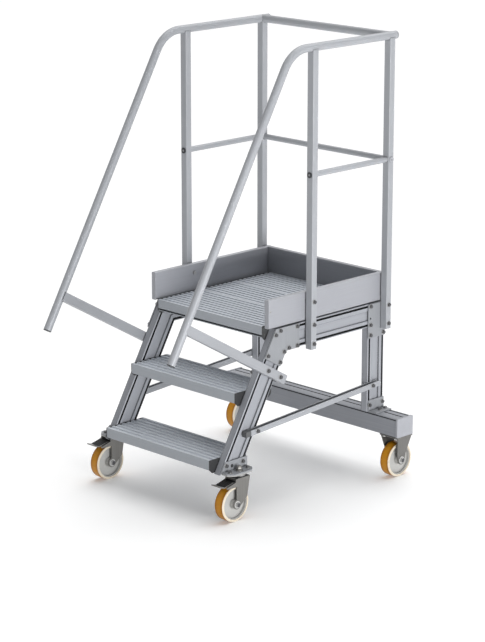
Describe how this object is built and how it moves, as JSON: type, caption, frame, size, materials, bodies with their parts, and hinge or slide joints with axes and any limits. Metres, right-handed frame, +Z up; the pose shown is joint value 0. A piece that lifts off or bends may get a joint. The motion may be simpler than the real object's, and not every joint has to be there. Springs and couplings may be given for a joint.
{
  "type": "podium step",
  "caption": "Mobile podium step of slotted profiles: ribbed treads, platform with toe boards, guard rails and sloping handrails, braked swivel castors in front and fixed ones behind.",
  "frame": {"origin": "on the floor below the middle of the overall box", "axes": "+Z up, +Y the climbing direction, +X to the right of a person climbing"},
  "size_m": [0.867, 1.094, 1.58],
  "materials": {
    "profile_aluminium": "anodised extrusion, satin",
    "base_cap_plastic": "light grey moulded",
    "plank_aluminium": "ribbed extrusion, satin",
    "black_plastic": "black moulded",
    "toe_board_aluminium": "satin",
    "tube_aluminium": "anodised tube, satin",
    "grey_plastic": "grey moulded",
    "plate_aluminium": "cut plate",
    "zinc_steel": "zinc plated pressing",
    "wheel_core": "light grey moulded",
    "amber_tread": "amber cast elastomer"
  },
  "bodies": {
    "frame": {"stringer_left": "profile_aluminium", "stringer_right": "profile_aluminium", "side_beam_left": "profile_aluminium", "side_beam_right": "profile_aluminium", "rear_leg_left": "profile_aluminium", "rear_leg_right": "profile_aluminium", "base_beam": "profile_aluminium", "base_beam_caps": "base_cap_plastic", "lower_tread": "plank_aluminium", "upper_tread": "plank_aluminium", "tread_caps": "black_plastic", "deck_plank_front": "plank_aluminium", "deck_plank_middle": "plank_aluminium", "deck_plank_rear": "plank_aluminium", "deck_caps": "black_plastic", "toe_board_left": "toe_board_aluminium", "toe_board_right": "toe_board_aluminium", "toe_board_rear": "toe_board_aluminium", "front_post_left": "tube_aluminium", "front_post_right": "tube_aluminium", "rear_post_left": "tube_aluminium", "rear_post_right": "tube_aluminium", "handrail_left": "tube_aluminium", "handrail_right": "tube_aluminium", "rear_top_rail": "tube_aluminium", "rail_plugs": "grey_plastic", "knee_rail_left": "tube_aluminium", "knee_rail_right": "tube_aluminium", "knee_rail_rear": "tube_aluminium", "handrail_arm_left": "tube_aluminium", "handrail_arm_right": "tube_aluminium", "gusset_plates": "plate_aluminium", "corner_plates": "plate_aluminium", "brace_left": "tube_aluminium", "brace_right": "tube_aluminium", "brace_plugs": "black_plastic", "castor_hangers": "plate_aluminium", "foot_angles": "plate_aluminium", "frame_bolts": "zinc_steel", "post_spacers": "zinc_steel", "front_castor_plate_left": "zinc_steel", "front_castor_plate_right": "zinc_steel", "rear_fork_left": "zinc_steel", "rear_fork_right": "zinc_steel", "rear_axles": "zinc_steel"},
    "front_swivel_left": {"front_fork_left": "zinc_steel", "front_axle_left": "zinc_steel"},
    "front_swivel_right": {"front_fork_right": "zinc_steel", "front_axle_right": "zinc_steel"},
    "front_wheel_left": {"front_wheel_left": "wheel_core", "front_tyre_left": "amber_tread"},
    "front_wheel_right": {"front_wheel_right": "wheel_core", "front_tyre_right": "amber_tread"},
    "brake_left": {"brake_pedal_left": "black_plastic"},
    "brake_right": {"brake_pedal_right": "black_plastic"},
    "rear_wheel_left": {"rear_wheel_left": "wheel_core", "rear_tyre_left": "amber_tread"},
    "rear_wheel_right": {"rear_wheel_right": "wheel_core", "rear_tyre_right": "amber_tread"}
  },
  "joints": [
    {"name": "front_left_swivel", "type": "hinge", "parent": "frame", "child": "front_swivel_left", "pos_m": [-0.315, -0.2285, 0.1515], "axis": [0, 0, 1], "continuous": true},
    {"name": "front_left_roll", "type": "hinge", "parent": "front_swivel_left", "child": "front_wheel_left", "pos_m": [-0.315, -0.2645, 0.0625], "axis": [1, 0, 0], "continuous": true},
    {"name": "front_left_brake", "type": "hinge", "parent": "front_swivel_left", "child": "brake_left", "pos_m": [-0.315, -0.272, 0.137], "axis": [1, 0, 0], "range_deg": [0, 12]},
    {"name": "rear_left_roll", "type": "hinge", "parent": "frame", "child": "rear_wheel_left", "pos_m": [-0.391, 0.4845, 0.0625], "axis": [1, 0, 0], "continuous": true},
    {"name": "front_right_swivel", "type": "hinge", "parent": "frame", "child": "front_swivel_right", "pos_m": [0.315, -0.2285, 0.1515], "axis": [0, 0, 1], "continuous": true},
    {"name": "front_right_roll", "type": "hinge", "parent": "front_swivel_right", "child": "front_wheel_right", "pos_m": [0.315, -0.2645, 0.0625], "axis": [1, 0, 0], "continuous": true},
    {"name": "front_right_brake", "type": "hinge", "parent": "front_swivel_right", "child": "brake_right", "pos_m": [0.315, -0.272, 0.137], "axis": [1, 0, 0], "range_deg": [0, 12]},
    {"name": "rear_right_roll", "type": "hinge", "parent": "frame", "child": "rear_wheel_right", "pos_m": [0.391, 0.4845, 0.0625], "axis": [1, 0, 0], "continuous": true}
  ]
}
